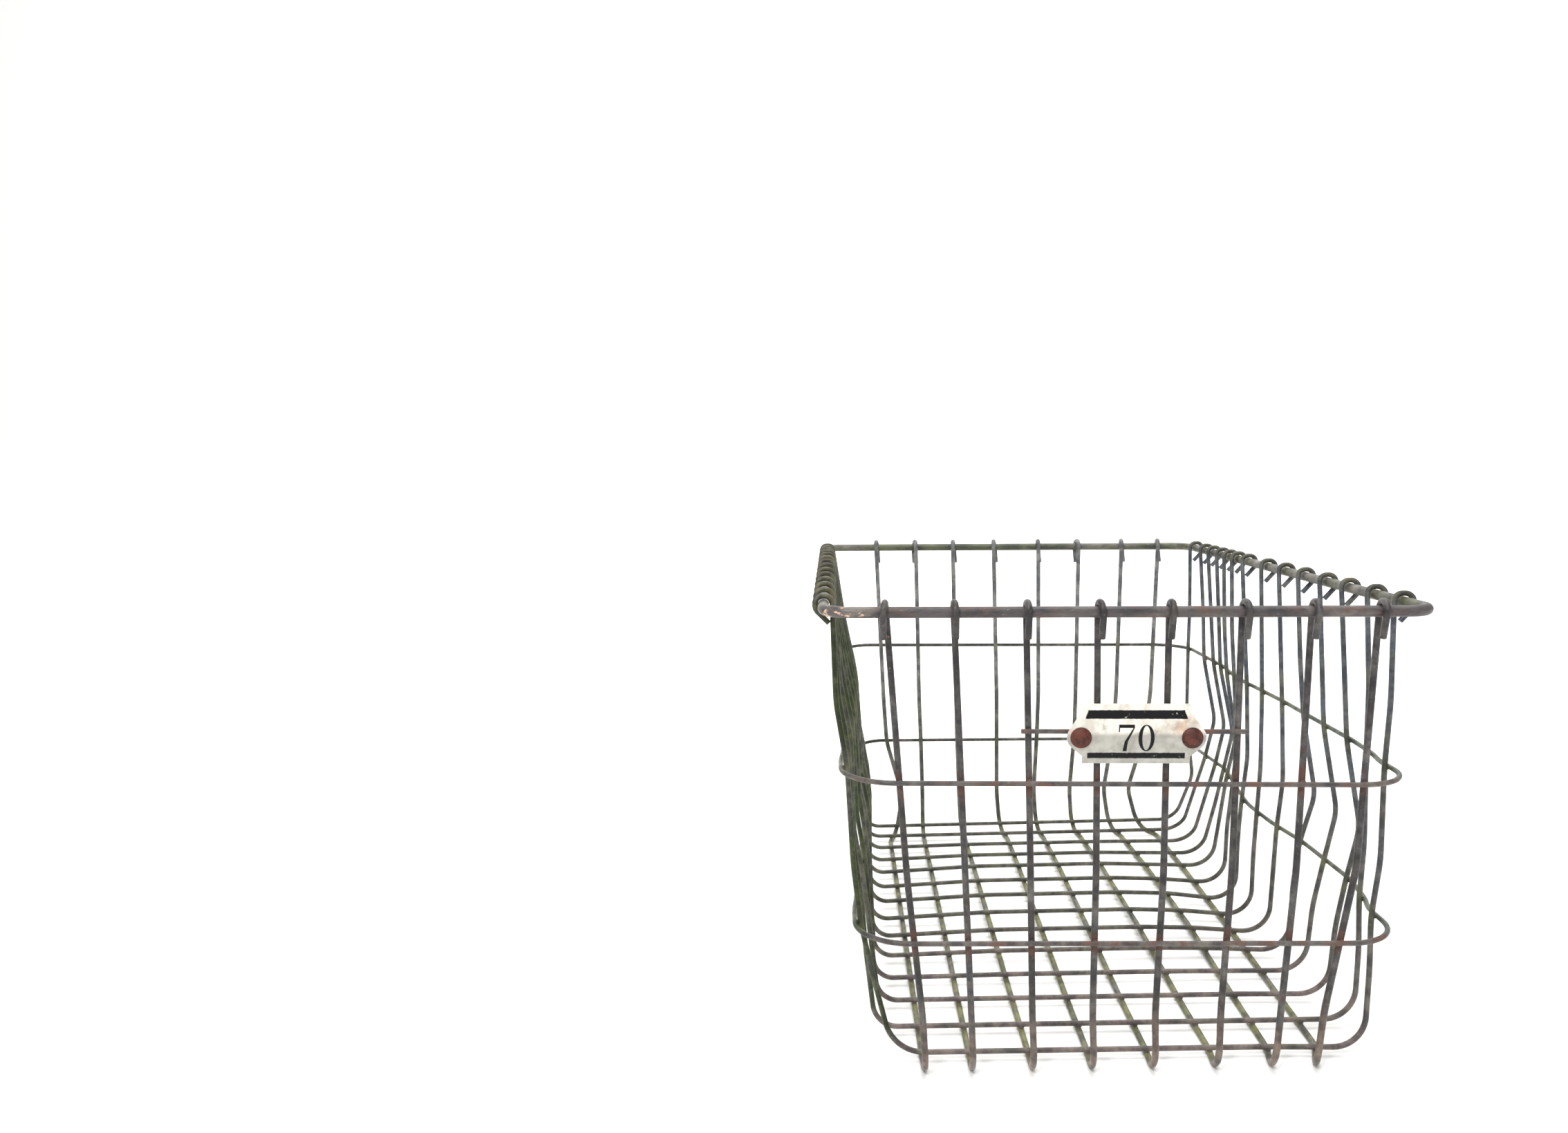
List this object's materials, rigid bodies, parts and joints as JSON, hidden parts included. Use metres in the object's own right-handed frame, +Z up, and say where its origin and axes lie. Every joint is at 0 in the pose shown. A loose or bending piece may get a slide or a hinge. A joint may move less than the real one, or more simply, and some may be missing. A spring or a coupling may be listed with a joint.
{
  "type": "wire basket",
  "caption": "Rectangular locker-room wire basket: hooked and welded wires under a heavy rim rod, two belts round the outside and a riveted number plate in front.",
  "frame": {"origin": "middle of the basket's outline, on the shelf that it stands on", "axes": "+X to the right as seen from the front, +Y from the number plate's wall to the back, +Z up"},
  "size_m": [0.2402, 0.3356, 0.1951],
  "materials": {
    "rim_paint": "old dark green paint, worn brown, with bare and rusty chips",
    "length_paint": "old dark green paint, dull, chipped at the welds",
    "cross_paint": "old dark green paint, dull, rusty on the floor",
    "belt_paint": "old paint worn brown on the outside",
    "plate": "stamped sheet, stained, with two black bands and a plain number",
    "rivet": "rusty steel, red-brown"
  },
  "bodies": {
    "root": {"rim_rod": "rim_paint", "upper_belt": "belt_paint", "lower_belt": "belt_paint", "plate_wire": "belt_paint", "number_plate": "plate", "rivet_left": "rivet", "rivet_right": "rivet", "washer_left": "rivet", "washer_right": "rivet", "length_wire_1": "length_paint", "length_wire_2": "length_paint", "length_wire_3": "length_paint", "length_wire_4": "length_paint", "length_wire_5": "length_paint", "length_wire_6": "length_paint", "length_wire_7": "length_paint", "length_wire_8": "length_paint", "cross_wire_1": "cross_paint", "cross_wire_2": "cross_paint", "cross_wire_3": "cross_paint", "cross_wire_4": "cross_paint", "cross_wire_5": "cross_paint", "cross_wire_6": "cross_paint", "cross_wire_7": "cross_paint", "cross_wire_8": "cross_paint", "cross_wire_9": "cross_paint", "cross_wire_10": "cross_paint", "cross_wire_11": "cross_paint", "cross_wire_12": "cross_paint", "cross_wire_13": "cross_paint", "cross_wire_14": "cross_paint"}
  },
  "joints": []
}
